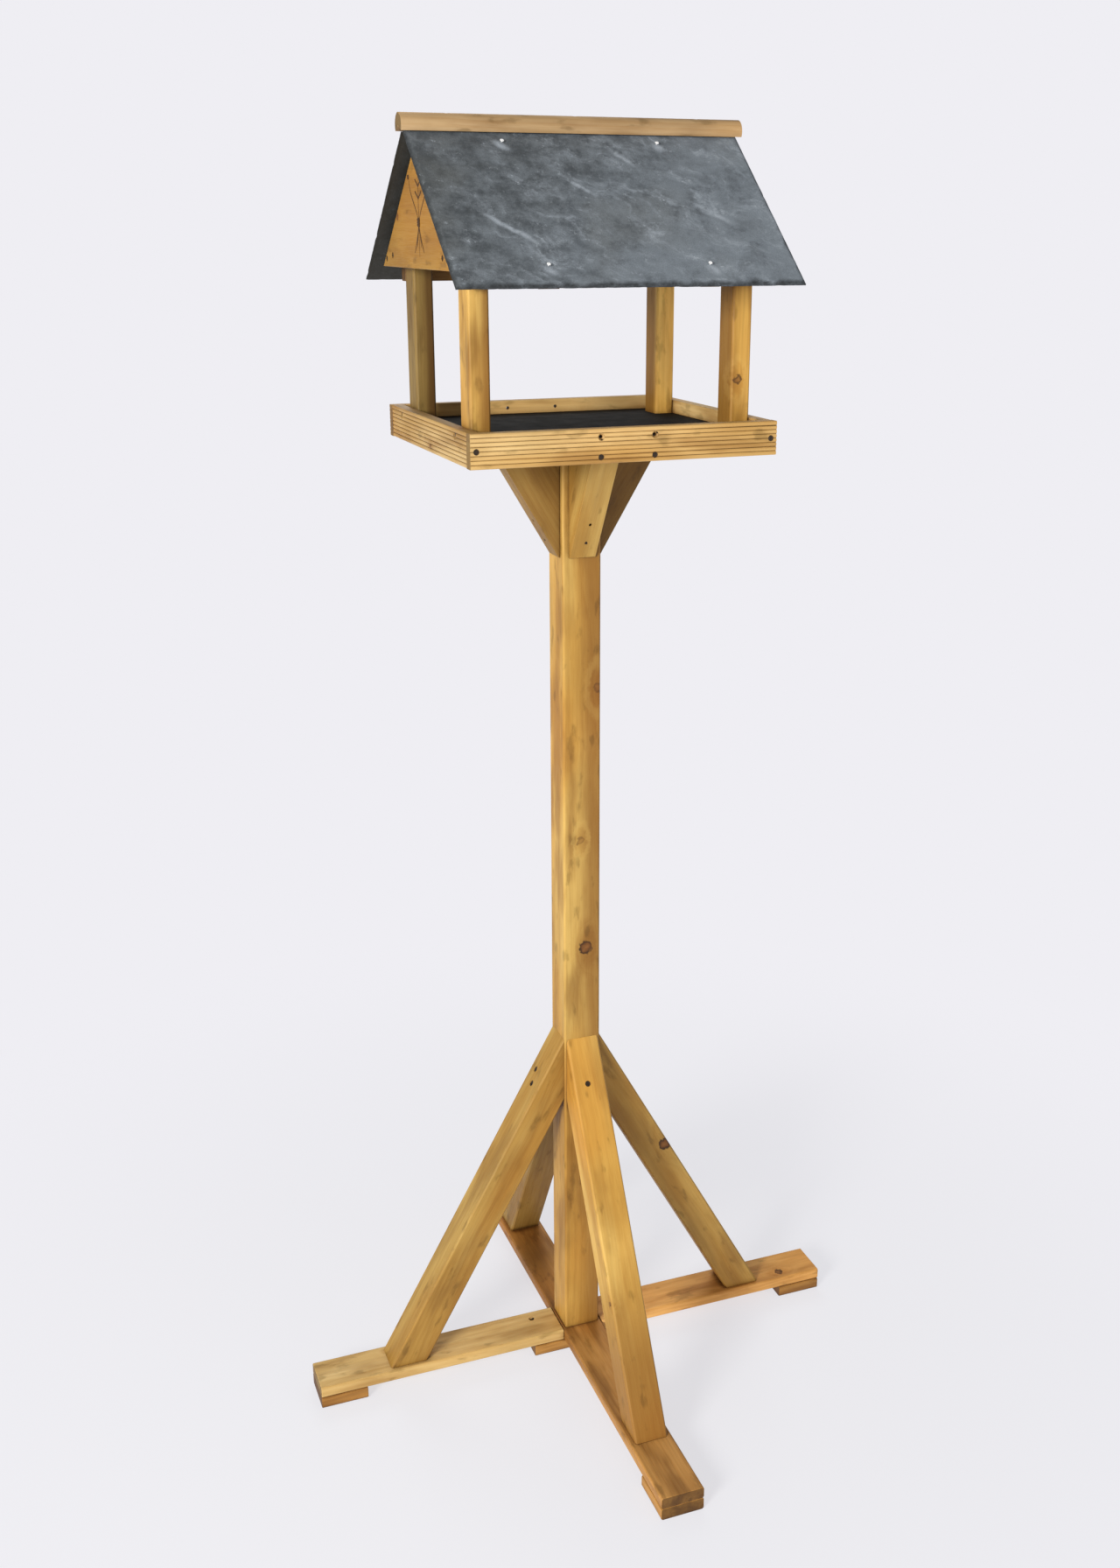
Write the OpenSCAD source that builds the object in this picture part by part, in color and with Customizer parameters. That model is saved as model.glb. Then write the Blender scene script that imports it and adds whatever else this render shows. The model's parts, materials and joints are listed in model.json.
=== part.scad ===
// Bird feeder on a pole: a braced cross base, a square pole, a reeded tray on four
// corner posts and a slate roof. X runs along the ridge, -Y is the front, +Z is up.
// The origin is the middle of the base, on the ground. Millimetres.

/* [Base] */
// Overall length of each pair of base arms
base_span = 755; // [680:5:840]
// Width of the base boards
base_width = 58; // [52:1:70]
// Thickness of the base boards
base_thickness = 16; // [14:1:22]
// Height of the blocks under the base boards
foot_height = 17; // [14:1:24]
// Length of the block under each arm end
foot_length = 64; // [50:2:84]
// Length of the block under the crossing
centre_length = 144; // [130:2:180]

/* [Pole and struts] */
// Side of the square pole
pole_side = 50; // [48:1:56]
// Side of the square struts
strut_side = 45; // [38:1:48]
// Height above ground where a strut's outer face meets the pole
strut_top = 490; // [420:2:560]
// Distance from the pole face to a strut's toe
strut_reach = 254; // [220:2:280]

/* [Tray brackets] */
// Distance a bracket reaches from the pole under the tray
bracket_reach = 81; // [70:1:96]
// Height of a bracket below the tray
bracket_height = 132; // [110:2:170]
// Thickness of a bracket
bracket_width = 34; // [28:1:38]
// Depth of the blunt lower end of a bracket
bracket_nose = 2; // [1:1:12]

/* [Tray] */
// Length of the tray along the ridge
tray_length = 364; // [350:2:376]
// Depth of the tray from front to back
tray_depth = 341; // [330:1:370]
// Height of the tray's lower edge above ground
tray_height = 1269; // [1000:1:1400]
// Height of the four tray boards
tray_board_height = 38; // [36:1:48]
// Thickness of the four tray boards
tray_board_thickness = 14; // [12:1:18]
// Number of reeds on each tray board
reed_count = 8; // [6:1:10]
// Depth of the grooves between the reeds
reed_depth = 1.6; // [0.8:0.2:2.4]
// Depth of the tray above its mat
tray_hollow = 16; // [14:1:17]
// Thickness of the mat on the tray floor
mat_thickness = 2; // [1:0.5:3]

/* [Corner posts] */
// Width of the four corner posts
post_side = 24; // [22:1:30]
// Depth of the corner posts from front to back
post_depth = 36; // [24:1:38]
// Distance from the tray's front or back face to a post
post_inset = 44; // [44:1:56]
// Open height between the tray rim and the roof rails
feeding_gap = 147; // [110:1:200]

/* [Roof] */
// Pitch of the roof in degrees
roof_pitch = 40; // [36:0.5:44]
// Length of each slate along the ridge
slate_length = 400; // [390:2:440]
// Width of each slate down the slope
slate_width = 246; // [238:1:260]
// Thickness of the slates
slate_thickness = 5; // [4:0.5:8]
// Distance of the roof battens from the middle
batten_spread = 93; // [70:1:110]
// Thickness of the gable boards
gable_thickness = 20; // [16:1:22]
// Diameter of the round ridge roll
roll_diameter = 26; // [24:1:32]
// Length of the ridge roll
roll_length = 408; // [402:2:440]

/* [Hidden] */
$fn = 32;
ease = 2;                 // chamfer on the long edges of planed timber
cut = 1;                  // overshoot of a cutting tool
shank_play = 0.1;         // radial play of a screw in its bore

// Levels
base_top = foot_height + base_thickness;
rim_z = tray_height + tray_board_height;
mat_top = rim_z - tray_hollow;
floor_thickness = 6;
floor_top = mat_top - mat_thickness;
floor_z = floor_top - floor_thickness;
mid_board_z = tray_height + tray_board_height / 2;
bearer_mid_z = (tray_height + floor_z) / 2;

// Strut geometry
pole_face = pole_side / 2;
strut_rise = strut_top - base_top;
strut_angle = atan(strut_reach / strut_rise);
strut_run = sqrt(strut_reach * strut_reach + strut_rise * strut_rise);

// Tray plan
tray_half_x = tray_length / 2;
tray_half_y = tray_depth / 2;
inner_half_x = tray_half_x - tray_board_thickness;
inner_half_y = tray_half_y - tray_board_thickness;
bearer_width = 14;
bearer_x = pole_face + bearer_width / 2;
post_out_y = tray_half_y - post_inset;
post_x = inner_half_x - post_side / 2;
post_y = post_out_y - post_depth / 2;
bracket_slope = bracket_height / (bracket_reach - bracket_nose);

// Roof section
rail_thickness = 16;
rail_height = 25;
rail_z = rim_z + feeding_gap;
rail_out_y = post_out_y + rail_thickness;
batten_thickness = 12;
batten_width = 24;
batten_end = slate_width - 10;
under_batten_z = rail_z + rail_height + rail_out_y * tan(roof_pitch);
under_slate_z = under_batten_z + batten_thickness / cos(roof_pitch);
over_slate_z = under_slate_z + slate_thickness / cos(roof_pitch);
post_top = under_batten_z - post_out_y * tan(roof_pitch) - 2;
gable_z = rail_z + 17;
gable_drop = 1;
gable_out_x = inner_half_x + gable_thickness;
gable_half_y = (under_batten_z - gable_drop - gable_z) / tan(roof_pitch);
ridge_board_thickness = 16;
ridge_board_height = 45;
ridge_board_top = under_slate_z - ridge_board_thickness / 2 * tan(roof_pitch) - 0.2;
slate_gap = 2.4;
slate_start = slate_gap / cos(roof_pitch);
roll_z = over_slate_z - 0.3;
notch_pitch = roof_pitch - 14;
notch_z = over_slate_z - slate_gap * (tan(roof_pitch) - tan(notch_pitch)) + 0.05;
slate_screw_rows = [22, slate_width - 26];

// Screws: diameter, head diameter and lengths
screw_d = 4;
screw_head = 8;
thin_d = 3.5;
thin_head = 7;
fine_d = 2.4;
fine_head = 3.6;
tip_length = 5;
strut_screw_run = (strut_top - base_top - 62) / cos(strut_angle);
gable_screw_spots = [[rail_out_y - 10, gable_z + 9], [10 - rail_out_y, gable_z + 9],
                     [post_y - 4, gable_z + 13], [4 - post_y, gable_z + 13],
                     [0, under_batten_z - 11]];

// ---- Timber sections ----

module eased_section(w, d) {
  a = w / 2;
  b = d / 2;
  polygon([[ease - a, -b], [a - ease, -b], [a, ease - b], [a, b - ease],
           [a - ease, b], [ease - a, b], [-a, b - ease], [-a, ease - b]]);
}

// A bar along Z, X or Y, centred on its section, from 0 to its length
module bar_z(w, d, length) {
  linear_extrude(length) eased_section(w, d);
}

module bar_x(d, h, length) {
  rotate([90, 0, 90]) bar_z(d, h, length);
}

module bar_y(w, h, length) {
  rotate([90, 0, 0]) mirror([0, 0, 1]) bar_z(w, h, length);
}

// A profile in the YZ plane, drawn out along X about the middle
module along_x(length, points) {
  translate([-length / 2, 0, 0]) rotate([90, 0, 90]) linear_extrude(length) polygon(points);
}

module quarter(n) {
  rotate([0, 0, 90 * n]) children();
}

module front_back(side) {
  mirror([0, side < 0 ? 1 : 0, 0]) children();
}

// The underside of one slate: Y runs down the slope, Z points out of the roof
module slope(side) {
  front_back(side) translate([0, 0, under_slate_z]) rotate([-roof_pitch, 0, 0]) children();
}

// ---- Screws: the head is at z = 0 and the point is below it ----

module screw(length, d = screw_d, head = screw_head) {
  head_depth = (head - d) / 2;
  translate([0, 0, -head_depth]) cylinder(h = head_depth, d1 = d, d2 = head);
  translate([0, 0, tip_length - length]) cylinder(h = length - tip_length - head_depth, d = d);
  translate([0, 0, -length]) cylinder(h = tip_length, d1 = 0.6, d2 = d);
}

module bore(length, d = screw_d, head = screw_head, open = cut) {
  head_depth = (head - d) / 2;
  translate([0, 0, -head_depth]) cylinder(h = head_depth, d1 = d, d2 = head);
  translate([0, 0, -0.01]) cylinder(h = open, d = head);
  translate([0, 0, -length - 0.5]) cylinder(h = length, d = d + 2 * shank_play);
}

module slate_screw() {
  translate([0, 0, slate_thickness]) cylinder(h = 1, d = 10);
  translate([0, 0, slate_thickness + 1]) cylinder(h = 1.6, d1 = 9, d2 = 5);
  translate([0, 0, tip_length - 11]) cylinder(h = slate_thickness + 11 - tip_length, d = screw_d);
  translate([0, 0, -11]) cylinder(h = tip_length, d1 = 0.6, d2 = screw_d);
}

// ---- Places of the screws, each with its Z axis coming out of the head ----

module at_foot_screws(n) {
  quarter(n) for (x = [-14, 14])
    translate([base_span / 2 - foot_length / 2 + x, 0, 3]) rotate([180, 0, 0]) children();
}

module at_crossing_screws() {
  for (side = [-1, 1])
    translate([side * (centre_length / 2 - 8), -side * 12, base_top - 0.6]) children();
}

module at_pole_base_screws() {
  for (x = [-13, 13], y = [-13, 13])
    translate([x, y, 3]) rotate([180, 0, 0]) children();
}

module at_strut_foot_screws(n) {
  quarter(n) for (y = [-10, 10])
    translate([pole_face + strut_reach - 32, y, foot_height + 0.6]) rotate([180, 0, 0]) children();
}

module strut_frame(n) {
  quarter(n) translate([pole_face + strut_reach, 0, base_top]) rotate([0, -strut_angle, 0])
    children();
}

module at_strut_head_screws(n) {
  places = n == 3 ? [[-3, 9]] : [[0, -9], [-8, 9]];
  strut_frame(n) for (place = places)
    translate([-0.8, place[0], strut_screw_run + place[1]]) rotate([0, 90, 0]) children();
}

module at_bracket_screws(n) {
  quarter(n) for (up = [20, 44])
    translate([pole_face + 14, 0, tray_height - bracket_height + up]) rotate([0, 90, 0]) children();
}

module at_bracket_top_screws(n) {
  top = n % 2 == 0 ? floor_z : floor_top;
  quarter(n) translate([pole_face + 50, 0, top - 0.4]) children();
}

module at_bearer_pole_screws(side) {
  for (y = [-12, 12])
    translate([side * (pole_face + bearer_width - 0.4), y, bearer_mid_z])
      rotate([0, 90 * side, 0]) children();
}

module at_floor_screws() {
  for (x = [-1, 1], y = [-1, 1])
    translate([x * bearer_x, y * 118, floor_top - 0.4]) children();
}

module out_front(side) {
  rotate([-90 * side, 0, 0]) children();
}

module at_corner_screws(side) {
  for (x = [-1, 1])
    translate([x * (tray_half_x - tray_board_thickness / 2), side * (tray_half_y - 1), mid_board_z])
      out_front(side) children();
}

module at_bearer_end_screws(side) {
  for (x = [-1, 1])
    translate([x * bearer_x, side * (tray_half_y - 1), bearer_mid_z]) out_front(side) children();
}

module at_rim_screws(side) {
  for (x = [-1, 1])
    translate([x * bearer_x, side * (tray_half_y - 1), rim_z - 9]) out_front(side) children();
}

module at_post_side_screws(side) {
  for (y = [-1, 1])
    translate([side * (tray_half_x - 1), y * (post_y + 4), mat_top + 8])
      rotate([0, 90 * side, 0]) children();
}

module at_post_floor_screws() {
  for (x = [-1, 1], y = [-1, 1])
    translate([x * post_x, y * (post_y - 5), floor_z + 0.4]) rotate([180, 0, 0]) children();
}

module at_rail_screws(side) {
  for (x = [-1, 1])
    translate([x * post_x, side * (rail_out_y - 0.4), rail_z + 12]) out_front(side) children();
}

module at_gable_screws(side) {
  for (spot = gable_screw_spots)
    translate([side * (gable_out_x - 0.6), spot[0], spot[1]]) rotate([0, 90 * side, 0]) children();
}

module at_batten_screws(side) {
  slope(side) for (x = [-1, 1])
    translate([x * batten_spread, (rail_out_y + 4.5) / cos(roof_pitch), -0.3]) children();
}

module at_slate_screws(side) {
  slope(side) for (x = [-1, 1], y = slate_screw_rows)
    translate([x * batten_spread, y, 0]) children();
}

module at_roll_screws() {
  for (x = [-150, 0, 150])
    translate([x, 0, roll_z + roll_diameter / 2 - 2]) children();
}

// Bores
module foot_bore() { bore(26); }
module crossing_bore() { bore(27, open = 2); }
module pole_base_bore() { bore(80, 5, 10, 4); }
module strut_foot_bore() { bore(45, open = 2); }
module strut_head_bore() { bore(50, open = 2); }
module bracket_bore() { bore(34, fine_d, fine_head, 60); }
module bracket_top_bore() { bore(40); }
module bearer_pole_bore() { bore(34); }
module tray_bore() { bore(38, thin_d, thin_head, 3); }
module post_floor_bore() { bore(32); }
module rail_bore() { bore(30, thin_d, thin_head); }
module gable_bore() { bore(44, thin_d, thin_head, 2); }
module batten_bore() { bore(26, thin_d, thin_head); }
module roll_bore() { bore(46, thin_d, thin_head, 4); }
module slate_bore() {
  translate([0, 0, -11.5]) cylinder(h = 11.5 + slate_thickness + cut, d = screw_d + 2 * shank_play);
}

// ---- Base ----

module base_board_long() {
  color("burlywood") difference() {
    translate([0, -base_span / 2, foot_height + base_thickness / 2])
      bar_y(base_width, base_thickness, base_span);
    for (n = [1, 3]) {
      at_foot_screws(n) foot_bore();
      at_strut_foot_screws(n) strut_foot_bore();
    }
    at_pole_base_screws() pole_base_bore();
  }
}

module base_arm(n) {
  color("burlywood") difference() {
    quarter(n) translate([base_width / 2, 0, foot_height + base_thickness / 2])
      bar_x(base_width, base_thickness, (base_span - base_width) / 2);
    at_foot_screws(n) foot_bore();
    at_strut_foot_screws(n) strut_foot_bore();
    at_crossing_screws() crossing_bore();
  }
}
module base_board_right() { base_arm(0); }
module base_board_left() { base_arm(2); }

module foot_block(n) {
  color("peru") difference() {
    quarter(n) translate([base_span / 2 - foot_length, 0, foot_height / 2])
      bar_x(base_width, foot_height, foot_length);
    at_foot_screws(n) foot_bore();
  }
}
module foot_block_right() { foot_block(0); }
module foot_block_back() { foot_block(1); }
module foot_block_left() { foot_block(2); }
module foot_block_front() { foot_block(3); }

module centre_block() {
  color("peru") difference() {
    translate([-centre_length / 2, 0, foot_height / 2])
      bar_x(base_width, foot_height, centre_length);
    at_crossing_screws() crossing_bore();
    at_pole_base_screws() pole_base_bore();
  }
}

// ---- Pole and struts ----

module pole() {
  color("burlywood") difference() {
    translate([0, 0, base_top]) bar_z(pole_side, pole_side, floor_z - base_top);
    at_pole_base_screws() pole_base_bore();
    for (n = [0:3]) {
      at_strut_head_screws(n) strut_head_bore();
      at_bracket_screws(n) bracket_bore();
    }
    for (side = [-1, 1]) at_bearer_pole_screws(side) bearer_pole_bore();
  }
}

module strut(n) {
  reach = base_span / 2;
  color("burlywood") difference() {
    intersection() {
      strut_frame(n) translate([-strut_side / 2, 0, -strut_side])
        bar_z(strut_side, strut_side, strut_run + 2 * strut_side);
      quarter(n) translate([pole_face, -reach, base_top]) cube([reach, 2 * reach, strut_rise]);
    }
    at_strut_head_screws(n) strut_head_bore();
    at_strut_foot_screws(n) strut_foot_bore();
  }
}
module strut_right() { strut(0); }
module strut_back() { strut(1); }
module strut_left() { strut(2); }
module strut_front() { strut(3); }

// ---- Brackets under the tray ----

module bracket(n, rise) {
  foot = tray_height - bracket_height;
  top = tray_height + rise;
  color("wheat") difference() {
    quarter(n) translate([0, bracket_width / 2, 0]) rotate([90, 0, 0]) linear_extrude(bracket_width)
      polygon([[pole_face, foot], [pole_face + bracket_nose, foot],
               [pole_face + bracket_reach + rise / bracket_slope, top], [pole_face, top]]);
    at_bracket_screws(n) bracket_bore();
    at_bracket_top_screws(n) bracket_top_bore();
  }
}
module bracket_right() { bracket(0, 0); }
module bracket_back() { bracket(1, floor_z - tray_height); }
module bracket_left() { bracket(2, 0); }
module bracket_front() { bracket(3, floor_z - tray_height); }

// ---- Tray ----

reed_steps = 6;
reed_pitch = tray_board_height / reed_count;
reed_points = [for (i = [0:reed_count - 1], k = [0:reed_steps])
  [tray_board_thickness - reed_depth * (1 - sin(180 * k / reed_steps)),
   reed_pitch * (i + (1 - cos(180 * k / reed_steps)) / 2)]];

// Reeded board along X, its outer face towards +Y
module reeded_board(length) {
  along_x(length, concat([[0, tray_board_height], [0, 0]], reed_points));
}

module tray_long_board(side) {
  color("goldenrod") difference() {
    front_back(side) translate([0, inner_half_y, tray_height]) reeded_board(tray_length);
    at_corner_screws(side) tray_bore();
    at_bearer_end_screws(side) tray_bore();
    at_rim_screws(side) bore(15, open = 3);
  }
}
module tray_board_front() { tray_long_board(-1); }
module tray_board_back() { tray_long_board(1); }

module tray_side_board(side) {
  color("goldenrod") difference() {
    rotate([0, 0, -90 * side]) translate([0, inner_half_x, tray_height])
      reeded_board(2 * inner_half_y);
    at_corner_screws(-1) tray_bore();
    at_corner_screws(1) tray_bore();
    at_post_side_screws(side) bore(30, open = 3);
  }
}
module tray_board_left() { tray_side_board(-1); }
module tray_board_right() { tray_side_board(1); }

module bearer(side) {
  color("peru") difference() {
    translate([side * bearer_x - bearer_width / 2, -inner_half_y, tray_height])
      cube([bearer_width, 2 * inner_half_y, floor_z - tray_height]);
    at_bearer_pole_screws(side) bearer_pole_bore();
    at_bearer_end_screws(-1) tray_bore();
    at_bearer_end_screws(1) tray_bore();
    at_floor_screws() bore(16);
  }
}
module bearer_left() { bearer(-1); }
module bearer_right() { bearer(1); }

module noggin(n) {
  start = pole_face + bearer_width;
  color("peru") difference() {
    quarter(n) translate([start, -bracket_width / 2, tray_height])
      cube([inner_half_x - start, bracket_width, floor_z - tray_height]);
    at_bracket_top_screws(n) bracket_top_bore();
  }
}
module noggin_right() { noggin(0); }
module noggin_left() { noggin(2); }

module tray_floor() {
  color("tan") difference() {
    translate([-inner_half_x, -inner_half_y, floor_z])
      cube([2 * inner_half_x, 2 * inner_half_y, floor_thickness]);
    for (n = [1, 3]) at_bracket_top_screws(n) bracket_top_bore();
    at_floor_screws() bore(16);
    at_post_floor_screws() post_floor_bore();
  }
}

module tray_mat() {
  notch_x = post_side + 0.6;
  notch_y = post_depth + 0.6;
  color("dimgray") difference() {
    translate([-inner_half_x, -inner_half_y, floor_top])
      cube([2 * inner_half_x, 2 * inner_half_y, mat_thickness]);
    for (x = [-1, 1], y = [-1, 1])
      translate([x * post_x - notch_x / 2, y * post_y - notch_y / 2, floor_top - cut])
        cube([notch_x, notch_y, mat_thickness + 2 * cut]);
  }
}

// ---- Corner posts ----

module corner_post(sx, sy) {
  color("burlywood") difference() {
    translate([sx * post_x, sy * post_y, floor_top])
      bar_z(post_side, post_depth, post_top - floor_top);
    at_post_side_screws(sx) bore(30);
    at_post_floor_screws() post_floor_bore();
    at_rail_screws(sy) rail_bore();
    at_gable_screws(sx) gable_bore();
  }
}
module post_front_left() { corner_post(-1, -1); }
module post_front_right() { corner_post(1, -1); }
module post_back_left() { corner_post(-1, 1); }
module post_back_right() { corner_post(1, 1); }

// ---- Roof ----

module roof_rail(side) {
  color("peru") difference() {
    front_back(side) along_x(2 * inner_half_x, [
      [post_out_y, rail_z], [rail_out_y, rail_z],
      [rail_out_y, rail_z + rail_height],
      [post_out_y, rail_z + rail_height + rail_thickness * tan(roof_pitch)]]);
    at_rail_screws(side) rail_bore();
    at_batten_screws(side) batten_bore();
    for (x = [-1, 1]) at_gable_screws(x) gable_bore();
  }
}
module roof_rail_front() { roof_rail(-1); }
module roof_rail_back() { roof_rail(1); }

module gable(side) {
  color("wheat") difference() {
    translate([side * (inner_half_x + gable_thickness / 2), 0, 0]) along_x(gable_thickness, [
      [-gable_half_y, gable_z], [gable_half_y, gable_z], [0, under_batten_z - gable_drop]]);
    at_gable_screws(side) gable_bore();
  }
}
module gable_left() { gable(-1); }
module gable_right() { gable(1); }

module ridge_board() {
  color("peru") difference() {
    translate([-inner_half_x, -ridge_board_thickness / 2, ridge_board_top - ridge_board_height])
      cube([2 * inner_half_x, ridge_board_thickness, ridge_board_height]);
    at_roll_screws() roll_bore();
    for (side = [-1, 1]) at_gable_screws(side) gable_bore();
  }
}

module batten(sx, side) {
  start = ridge_board_thickness / 2;
  run_y = batten_end * cos(roof_pitch);
  run_z = batten_end * sin(roof_pitch);
  color("peru") difference() {
    translate([sx * batten_spread, 0, 0]) front_back(side) along_x(batten_width, [
      [start, under_slate_z - start * tan(roof_pitch)],
      [run_y, under_slate_z - run_z],
      [run_y - batten_thickness * sin(roof_pitch),
       under_slate_z - run_z - batten_thickness * cos(roof_pitch)],
      [start, under_batten_z - start * tan(roof_pitch)]]);
    at_batten_screws(side) batten_bore();
    at_slate_screws(side) slate_bore();
  }
}
module batten_front_left() { batten(-1, -1); }
module batten_front_right() { batten(1, -1); }
module batten_back_left() { batten(-1, 1); }
module batten_back_right() { batten(1, 1); }

module slate(side) {
  color("slategray") difference() {
    slope(side) translate([-slate_length / 2, slate_start, 0])
      cube([slate_length, slate_width, slate_thickness]);
    at_slate_screws(side) slate_bore();
  }
}
module slate_front() { slate(-1); }
module slate_back() { slate(1); }

module ridge_roll() {
  w = roll_diameter;
  color("burlywood") difference() {
    translate([-roll_length / 2, 0, roll_z]) rotate([0, 90, 0])
      cylinder(h = roll_length, d = roll_diameter, $fn = 64);
    along_x(roll_length + 2 * cut, [[-w, notch_z - w * tan(notch_pitch)],
      [w, notch_z - w * tan(notch_pitch)], [0, notch_z]]);
    at_roll_screws() roll_bore();
  }
}

// ---- Screws ----

module foot_block_screws() { color("silver") for (n = [0:3]) at_foot_screws(n) screw(26); }
module crossing_screws() { color("silver") at_crossing_screws() screw(27); }
module pole_base_screws() { color("silver") at_pole_base_screws() screw(80, 5, 10); }
module strut_foot_screws() { color("silver") for (n = [0:3]) at_strut_foot_screws(n) screw(45); }
module strut_head_screws() { color("silver") for (n = [0:3]) at_strut_head_screws(n) screw(50); }
module bracket_screws() {
  color("silver") for (n = [0:3]) at_bracket_screws(n) screw(34, fine_d, fine_head);
}

module bracket_top_screws() {
  color("silver") for (n = [0:3]) at_bracket_top_screws(n) screw(40);
}

module bearer_screws() {
  color("silver") {
    for (side = [-1, 1]) at_bearer_pole_screws(side) screw(34);
    at_floor_screws() screw(16);
  }
}

module tray_frame_screws() {
  color("silver") for (side = [-1, 1]) {
    at_corner_screws(side) screw(38, thin_d, thin_head);
    at_bearer_end_screws(side) screw(38, thin_d, thin_head);
    at_rim_screws(side) screw(14);
  }
}

module post_screws() {
  color("silver") {
    for (side = [-1, 1]) at_post_side_screws(side) screw(30);
    at_post_floor_screws() screw(32);
  }
}

module rail_screws() {
  color("silver") for (side = [-1, 1]) at_rail_screws(side) screw(30, thin_d, thin_head);
}

module gable_screws() {
  color("silver") for (side = [-1, 1]) at_gable_screws(side) screw(44, thin_d, thin_head);
}

module batten_screws() {
  color("silver") for (side = [-1, 1]) at_batten_screws(side) screw(26, thin_d, thin_head);
}

module slate_screws() {
  color("gainsboro") for (side = [-1, 1]) at_slate_screws(side) slate_screw();
}

module ridge_roll_screws() {
  color("silver") at_roll_screws() screw(46, thin_d, thin_head);
}

base_board_long();
base_board_left();
base_board_right();
foot_block_front();
foot_block_back();
foot_block_left();
foot_block_right();
centre_block();
pole();
strut_front();
strut_back();
strut_left();
strut_right();
bracket_front();
bracket_back();
bracket_left();
bracket_right();
tray_board_front();
tray_board_back();
tray_board_left();
tray_board_right();
bearer_left();
bearer_right();
noggin_left();
noggin_right();
tray_floor();
tray_mat();
post_front_left();
post_front_right();
post_back_left();
post_back_right();
roof_rail_front();
roof_rail_back();
gable_left();
gable_right();
ridge_board();
batten_front_left();
batten_front_right();
batten_back_left();
batten_back_right();
slate_front();
slate_back();
ridge_roll();
foot_block_screws();
crossing_screws();
pole_base_screws();
strut_foot_screws();
strut_head_screws();
bracket_screws();
bracket_top_screws();
bearer_screws();
tray_frame_screws();
post_screws();
rail_screws();
gable_screws();
batten_screws();
slate_screws();
ridge_roll_screws();
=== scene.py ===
"""The looks of a bird feeder on a pole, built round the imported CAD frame: timber, slate, mat and screws.
Everything is in metres in the CAD's own frame: X along the ridge, -Y the front, +Z up."""

import json
import math
import random

import bmesh
import bpy
from mathutils import Matrix, Vector, noise


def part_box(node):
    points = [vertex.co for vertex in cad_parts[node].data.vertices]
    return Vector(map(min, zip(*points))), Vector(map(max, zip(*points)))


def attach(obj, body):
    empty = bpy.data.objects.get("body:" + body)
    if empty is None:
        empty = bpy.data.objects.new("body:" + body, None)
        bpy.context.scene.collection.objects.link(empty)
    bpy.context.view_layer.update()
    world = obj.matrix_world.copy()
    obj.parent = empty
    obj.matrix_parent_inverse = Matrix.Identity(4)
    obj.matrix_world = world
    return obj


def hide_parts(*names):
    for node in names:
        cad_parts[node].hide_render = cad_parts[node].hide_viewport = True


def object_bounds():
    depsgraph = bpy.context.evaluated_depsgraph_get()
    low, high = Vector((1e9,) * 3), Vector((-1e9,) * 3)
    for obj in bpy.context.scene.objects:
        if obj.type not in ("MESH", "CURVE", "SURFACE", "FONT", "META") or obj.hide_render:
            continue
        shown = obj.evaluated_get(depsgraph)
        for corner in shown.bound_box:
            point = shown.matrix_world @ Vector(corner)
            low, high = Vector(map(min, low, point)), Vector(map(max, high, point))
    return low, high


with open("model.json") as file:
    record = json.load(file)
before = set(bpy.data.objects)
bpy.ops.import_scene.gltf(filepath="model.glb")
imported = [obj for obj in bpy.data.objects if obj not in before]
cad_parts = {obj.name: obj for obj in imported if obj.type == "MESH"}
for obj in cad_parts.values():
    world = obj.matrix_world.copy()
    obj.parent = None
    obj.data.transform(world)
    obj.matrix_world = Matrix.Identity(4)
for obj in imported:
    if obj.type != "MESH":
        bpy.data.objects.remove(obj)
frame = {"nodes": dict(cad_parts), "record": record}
cad_low, cad_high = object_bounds()
SLOT = {part["node"]: part["material_slot"] for part in frame["record"]["subparts"]}
MM = 0.001
X, Y, Z = Vector((1, 0, 0)), Vector((0, 1, 0)), Vector((0, 0, 1))
AXES = (X, Y, Z)


def srgb(red, green, blue):
    """A display colour from 0 to 255 as the linear colour a shader takes."""
    def linear(value):
        value /= 255
        return value / 12.92 if value <= 0.04045 else ((value + 0.055) / 1.055) ** 2.4
    return (linear(red), linear(green), linear(blue), 1.0)


# ---- Building a material ----

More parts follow.
